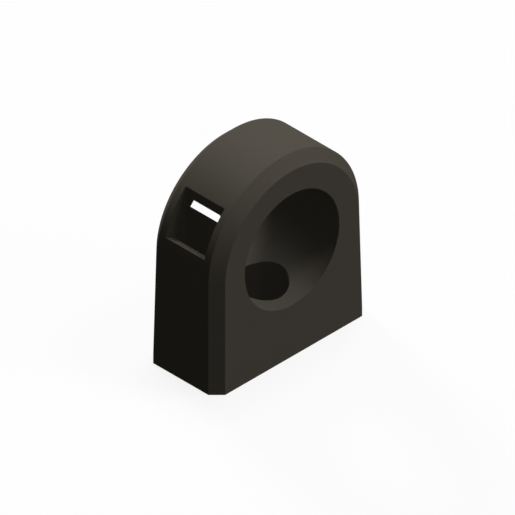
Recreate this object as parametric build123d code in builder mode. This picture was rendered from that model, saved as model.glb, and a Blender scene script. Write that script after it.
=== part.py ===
# Arched conduit clamp, one moulding: a tapered block with a round bore for the conduit, an upright
# screw hole through its foot, and on each shoulder a strap pocket whose flared slot falls to the bore.
# Frame: +Z up, +X across the arch, +Y along the conduit, origin in the middle of the underside.
import os
from math import cos, radians, sin, sqrt, tan

from build123d import *

# Block, in millimetres and degrees; the depth is taken at the height of the bore's axis
arch_radius = 17.4
axis_height = 21.0
depth_at_axis = 15.9
draft_angle = 1.0
edge_chamfer = 1.95

# Conduit bore and screw hole
bore_radius = 10.9
screw_hole_radius = 5.2

# Strap pocket: its inner wall meets the arch at the shoulder angle, and heights are from the bore's axis
pocket_width = 9.0
shoulder_angle = 45.9
pocket_floor_height = 0.0
sill_height = 4.6
sill_depth = 1.97
sill_slope = 28.0

# Strap slot, which passes under the bore's axis by its offset
slot_angle = 45.0
slot_thickness = 1.17
slot_offset = 1.63
slot_pocket_width = 7.4
slot_bore_width = 12.7

# Places worked out from the sizes above
slope = tan(radians(draft_angle))
lean_x = cos(radians(draft_angle))
lean_z = sin(radians(draft_angle))
total_height = axis_height + arch_radius
spring_x = arch_radius * lean_x
spring_z = axis_height + arch_radius * lean_z
foot_half_width = (arch_radius + axis_height * lean_z) / lean_x
foot_half_depth = depth_at_axis / 2 + axis_height * slope
crown_half_depth = depth_at_axis / 2 - arch_radius * slope
pocket_wall_x = arch_radius * cos(radians(shoulder_angle))


def arched_block():
    """Drafted block with an arched top, bevelled round its front and back outlines."""
    with BuildPart() as block:
        with BuildSketch(Plane.XZ):
            with BuildLine():
                Polyline(
                    (-spring_x, spring_z),
                    (-foot_half_width, 0),
                    (foot_half_width, 0),
                    (spring_x, spring_z),
                )
                ThreePointArc((spring_x, spring_z), (0, total_height), (-spring_x, spring_z))
            make_face()
        extrude(amount=foot_half_depth, both=True)
        with BuildSketch(Plane.YZ):
            with BuildLine():
                Polyline(
                    (-foot_half_depth, 0),
                    (foot_half_depth, 0),
                    (crown_half_depth, total_height),
                    (-crown_half_depth, total_height),
                    close=True,
                )
            make_face()
        extrude(amount=foot_half_width, both=True, mode=Mode.INTERSECT)
        end_faces = block.faces().sort_by(Axis.Y)
        outline = end_faces[0].edges() + end_faces[-1].edges()
        chamfer([edge for edge in outline if edge.center().Z > 0], length=edge_chamfer)
    return block.part


def strap_slots():
    """The two flared tunnels between the bore and the pockets, as solids to cut away."""
    reach_to_bore = sqrt(bore_radius**2 - slot_offset**2)
    run = (pocket_wall_x - slot_offset * sin(radians(slot_angle))) / cos(radians(slot_angle))
    flare = (slot_bore_width - slot_pocket_width) / 2 / (run - reach_to_bore)
    start = reach_to_bore - slot_thickness
    end = run + slot_thickness
    start_half = slot_bore_width / 2 + flare * slot_thickness
    end_half = slot_pocket_width / 2 - flare * slot_thickness
    middle = Plane(
        origin=(0, 0, axis_height),
        x_dir=(0, 1, 0),
        z_dir=(sin(radians(slot_angle)), 0, cos(radians(slot_angle))),
    ).offset(-slot_offset)
    with BuildPart() as slots:
        with BuildSketch(middle):
            with BuildLine():
                Polyline(
                    (-start_half, start),
                    (start_half, start),
                    (end_half, end),
                    (-end_half, end),
                    close=True,
                )
            make_face()
        extrude(amount=slot_thickness / 2, both=True)
        mirror(about=Plane.YZ)
    return slots.part


def make_clamp_body():
    """The finished moulding."""
    slots = strap_slots()
    sill_z = axis_height + sill_height
    sill_x = sqrt(arch_radius**2 - sill_height**2)
    with BuildPart() as clamp_body:
        add(arched_block())

        # Conduit bore, straight through from front to back
        with BuildSketch(Plane.XZ):
            with Locations((0, axis_height)):
                Circle(bore_radius)
        extrude(amount=foot_half_depth, both=True, mode=Mode.SUBTRACT)

        # Screw hole, from the bore down through the foot
        with BuildSketch(Plane.XY):
            Circle(screw_hole_radius)
        extrude(amount=axis_height, mode=Mode.SUBTRACT)

        # Strap pockets: an upright inner wall, then a steep ramp and a gentler sill up to the mouth
        with BuildSketch(Plane.XZ):
            with BuildLine():
                Polyline(
                    (pocket_wall_x, total_height),
                    (pocket_wall_x, axis_height + pocket_floor_height),
                    (sill_x - sill_depth, sill_z - sill_depth * tan(radians(sill_slope))),
                    (sill_x, sill_z),
                    (foot_half_width, sill_z),
                    (foot_half_width, total_height),
                    close=True,
                )
            make_face()
            mirror(about=Plane.YZ)
        extrude(amount=pocket_width / 2, both=True, mode=Mode.SUBTRACT)

        add(slots, mode=Mode.SUBTRACT)
    return clamp_body.part


os.makedirs("parts", exist_ok=True)
clamp_body = make_clamp_body()
clamp_body.label = "clamp_body"
export_step(clamp_body, "parts/clamp_body.step")
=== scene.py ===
from math import cos, pi, radians, sin
import bmesh
import bpy
import numpy as np
from mathutils import Matrix, Vector


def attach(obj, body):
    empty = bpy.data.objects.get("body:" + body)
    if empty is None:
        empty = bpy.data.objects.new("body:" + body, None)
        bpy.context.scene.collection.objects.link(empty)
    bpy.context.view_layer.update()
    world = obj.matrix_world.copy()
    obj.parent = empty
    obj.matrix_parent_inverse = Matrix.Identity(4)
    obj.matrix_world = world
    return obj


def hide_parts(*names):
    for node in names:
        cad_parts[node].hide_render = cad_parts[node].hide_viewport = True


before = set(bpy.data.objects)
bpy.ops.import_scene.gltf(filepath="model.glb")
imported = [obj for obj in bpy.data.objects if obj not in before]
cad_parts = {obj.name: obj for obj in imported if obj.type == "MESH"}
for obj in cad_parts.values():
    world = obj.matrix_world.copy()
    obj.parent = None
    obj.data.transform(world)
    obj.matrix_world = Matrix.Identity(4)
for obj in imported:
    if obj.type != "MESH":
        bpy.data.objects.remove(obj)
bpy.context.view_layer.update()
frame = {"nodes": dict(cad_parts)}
print("frame loaded, nodes:", ", ".join(frame["nodes"]))


# One output socket of a shader. Signs between signals and numbers add Math nodes,
# and the reflected forms let a number stand first, as in 1 - mask.
class Signal:
    def __init__(self, bench, socket):
        self.bench, self.socket = bench, socket

    def calc(self, operation, first, second):
        return self.bench.node("ShaderNodeMath", {"operation": operation}, {0: first, 1: second})

    def __add__(self, other):
        return self.calc("ADD", self, other)

    def __sub__(self, other):
        return self.calc("SUBTRACT", self, other)

    def __rsub__(self, other):
        return self.calc("SUBTRACT", other, self)

    def __mul__(self, other):
        return self.calc("MULTIPLY", self, other)

    __radd__ = __add__
    __rmul__ = __mul__

    def larger(self, other):
        return self.calc("MAXIMUM", self, other)

    # Another output of the same node.
    def beside(self, name):
        return Signal(self.bench, self.socket.node.outputs[name])


# The node tree of one material or of the world.
class Bench:
    def __init__(self, owner):
        owner.use_nodes = True
        self.tree = owner.node_tree
        self.tree.nodes.clear()

    # Any node: its type, its settings, which are set first, then the value or link of each socket.
    def node(self, kind, settings={}, sockets={}, out=0):
        made = self.tree.nodes.new(kind)
        for name, value in settings.items():
            setattr(made, name, value)
        for name, value in sockets.items():
            if isinstance(value, Signal):
                self.tree.links.new(value.socket, made.inputs[name])
            else:
                made.inputs[name].default_value = value
        return Signal(self, made.outputs[out]) if made.outputs else None


# Moulding: the CAD node's own mesh, merged, with its sharp edges eased a little as a mould leaves them.
# All lengths in this file are in metres.
moulding = {
    "easing": 0.00008,
    "easingSteps": 2,
    "sharpFrom": radians(20),
    "mergeWithin": 1e-6,
    "flatWithin": radians(0.5),  # triangles closer to one plane than this become one face
}


def makeMoulding():
    node = frame["nodes"]["clamp_body"]
    mesh = node.data.copy()
    mesh.name = "clampMoulding"
    mesh.materials.clear()
    mesh.attributes.remove(mesh.attributes["custom_normal"])  # made for the loose triangles
    work = bmesh.new()
    work.from_mesh(mesh)
    bmesh.ops.remove_doubles(work, verts=work.verts, dist=moulding["mergeWithin"])
    bmesh.ops.dissolve_limit(work, angle_limit=moulding["flatWithin"], verts=work.verts, edges=work.edges)
    for face in work.faces:
        face.smooth = True
    work.to_mesh(mesh)
    work.free()
    mesh.set_sharp_from_angle(angle=moulding["sharpFrom"])
    piece = bpy.data.objects.new("clampMoulding", mesh)
    bpy.context.scene.collection.objects.link(piece)
    ease = piece.modifiers.new("easedEdges", "BEVEL")
    ease.limit_method = "ANGLE"
    ease.angle_limit = moulding["sharpFrom"]
    ease.width = moulding["easing"]
    ease.segments = moulding["easingSteps"]
    ease.harden_normals = True
    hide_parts("clamp_body")
    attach(piece, "root")
    print("moulding made:", len(mesh.polygons), "faces before its edges are eased")
    return piece


# Finish: matt moulded plastic, near black and a little warm, with a spark-eroded grain.
# Each depth is how far its noise swings the tone or the roughness to either side.
finish = {
    "colour": (0.0795, 0.0708, 0.0554),
    "cloud": {"size": 0.009, "detail": 3.0, "breakUp": 0.55, "depth": 0.05},   # slow change of tone
    "speck": {"size": 0.00014, "detail": 2.0, "breakUp": 0.6, "depth": 0.10},  # the eroded grain
    "roughness": 0.72,
    "roughnessDepth": 0.04,
    "grainHeight": 0.00002,
    "grainStrength": 0.5,
    "gloss": 0.12,
}
noiseMiddle = 0.5


def noise(bench, place, facts):
    return bench.node("ShaderNodeTexNoise", sockets={
        "Vector": place, "Scale": 1 / facts["size"], "Detail": facts["detail"],
        "Roughness": facts["breakUp"]})


# Noise less its middle, times twice the depth, runs from -depth to depth.
def swing(signal, depth):
    return (signal - noiseMiddle) * (2 * depth)


def makeFinish():
    material = bpy.data.materials.new("mouldedBlackPlastic")
    bench = Bench(material)
    place = bench.node("ShaderNodeTexCoord", out="Object")
    cloud = noise(bench, place, finish["cloud"])
    speck = noise(bench, place, finish["speck"])
    tone = 1 + swing(cloud, finish["cloud"]["depth"]) + swing(speck, finish["speck"]["depth"])
    toned = bench.node("ShaderNodeCombineColor", sockets={"Red": tone, "Green": tone, "Blue": tone})
    colour = bench.node("ShaderNodeMix", {"data_type": "RGBA", "blend_type": "MULTIPLY"},
                        {0: 1, 6: (*finish["colour"], 1), 7: toned}, out=2)
    rough = finish["roughness"] + swing(cloud, finish["roughnessDepth"])
    grain = bench.node("ShaderNodeBump", sockets={
        "Height": speck, "Strength": finish["grainStrength"], "Distance": finish["grainHeight"]})
    skin = bench.node("ShaderNodeBsdfPrincipled", sockets={
        "Base Color": colour, "Roughness": rough, "Normal": grain,
        "Specular IOR Level": finish["gloss"]})
    bench.node("ShaderNodeOutputMaterial", sockets={"Surface": skin})
    return material


body = makeMoulding()
body.data.materials.append(makeFinish())
print("finish made")

# Studio: a pale floor, white to the camera but keeping the shadow, and a white world that lights weakly.
studio = {
    "floorReach": 3.0,
    "floorGlow": 0.88,       # the part of the floor's white that no shadow darkens
    "floorForCamera": 0.95,
    "floorForObject": 0.02,  # how much light the floor throws back at the part
    "ambient": 0.006,
    "glossShare": 0.02,
}


def grey(level):
    return level, level, level, 1


# The rays that see the studio white: the camera's, straight or through glass, and a share in gloss.
def whiteRays(bench):
    seen = bench.node("ShaderNodeLightPath", out="Is Camera Ray")
    throughGlass = seen.beside("Is Transmission Ray")
    inGloss = seen.beside("Is Glossy Ray") * studio["glossShare"]
    return seen.larger(throughGlass).larger(inGloss)


# A square: the unit corners times its reach.
def makeFloor():
    material = bpy.data.materials.new("paleFloor")
    bench = Bench(material)
    lit = bench.node("ShaderNodeBsdfDiffuse", sockets={"Color": grey(studio["floorForCamera"])})
    glow = bench.node("ShaderNodeEmission", sockets={"Color": grey(1), "Strength": 1})
    pale = bench.node("ShaderNodeMixShader", sockets={0: studio["floorGlow"], 1: lit, 2: glow})
    dim = bench.node("ShaderNodeBsdfDiffuse", sockets={"Color": grey(studio["floorForObject"])})
    shown = bench.node("ShaderNodeMixShader", sockets={0: whiteRays(bench), 1: dim, 2: pale})
    bench.node("ShaderNodeOutputMaterial", sockets={"Surface": shown})
    reach = studio["floorReach"]
    mesh = bpy.data.meshes.new("studioFloor")
    corners = np.array([(-1, -1, 0), (1, -1, 0), (1, 1, 0), (-1, 1, 0)]) * reach
    mesh.from_pydata(corners.tolist(), [], [(0, 1, 2, 3)])
    mesh.materials.append(material)
    floor = bpy.data.objects.new("studioFloor", mesh)
    bpy.context.scene.collection.objects.link(floor)


def makeWorld():
    world = bpy.data.worlds.new("studioWorld")
    bpy.context.scene.world = world
    bench = Bench(world)
    strength = studio["ambient"] + whiteRays(bench) * (1 - studio["ambient"])
    sky = bench.node("ShaderNodeBackground", sockets={"Color": grey(1), "Strength": strength})
    bench.node("ShaderNodeOutputWorld", sockets={"Surface": sky})


# Lamps: each one's bearing from +X and its height, both in degrees, and the light a facing surface gets.
# The fills cast no shadow, so that the pocket, the bore and the screw hole stay readable.
lamps = {
    "spread": 18,
    "suns": {
        "overheadLamp": {"bearing": 30, "height": 73, "level": 0.38, "shadow": True},
        "highFrontLamp": {"bearing": 315, "height": 61, "level": 0.27, "shadow": True},
        "frontLamp": {"bearing": 300, "height": 8, "level": 0.26, "shadow": True},
        "backLamp": {"bearing": 75, "height": 25, "level": 0.50, "shadow": True},
        "overheadFill": {"bearing": 30, "height": 73, "level": 0.08, "shadow": False},
        "frontFill": {"bearing": 300, "height": 8, "level": 0.08, "shadow": False},
        "cornerFill": {"bearing": 200, "height": 8, "level": 0.088, "shadow": False},
    },
}


def makeLamps():
    for name, facts in lamps["suns"].items():
        light = bpy.data.lights.new(name, "SUN")
        light.energy = facts["level"] * pi
        light.angle = radians(lamps["spread"])
        light.use_shadow = facts["shadow"]
        lamp = bpy.data.objects.new(name, light)
        bearing, height = radians(facts["bearing"]), radians(facts["height"])
        source = Vector((cos(height) * cos(bearing), cos(height) * sin(bearing), sin(height)))
        lamp.rotation_mode = "QUATERNION"
        lamp.rotation_quaternion = source.to_track_quat("Z", "Y")
        bpy.context.scene.collection.objects.link(lamp)


# Camera: parallel, looking down one corner of the block at equal angles to its three axes.
view = {
    "aim": (-0.00452, -0.00448, 0.01995),
    "back": (-1, -1, 1),
    "away": 0.4,
    "width": 0.0841,
    "clip": (0.01, 10),
}


def makeCamera():
    camera = bpy.data.cameras.new("photoCamera")
    camera.type = "ORTHO"
    camera.ortho_scale = view["width"]
    camera.clip_start, camera.clip_end = view["clip"]
    back = Vector(view["back"]).normalized()
    right = Vector((0, 0, 1)).cross(back).normalized()
    turn = Matrix((right, back.cross(right), back)).transposed().to_4x4()
    holder = bpy.data.objects.new("photoCamera", camera)
    holder.matrix_world = Matrix.Translation(Vector(view["aim"]) + back * view["away"]) @ turn
    bpy.context.scene.collection.objects.link(holder)
    bpy.context.scene.camera = holder


makeFloor()
makeWorld()
makeLamps()
makeCamera()
bpy.context.scene.view_settings.view_transform = "Standard"
print("studio, lamps and camera made")

bpy.context.view_layer.update()
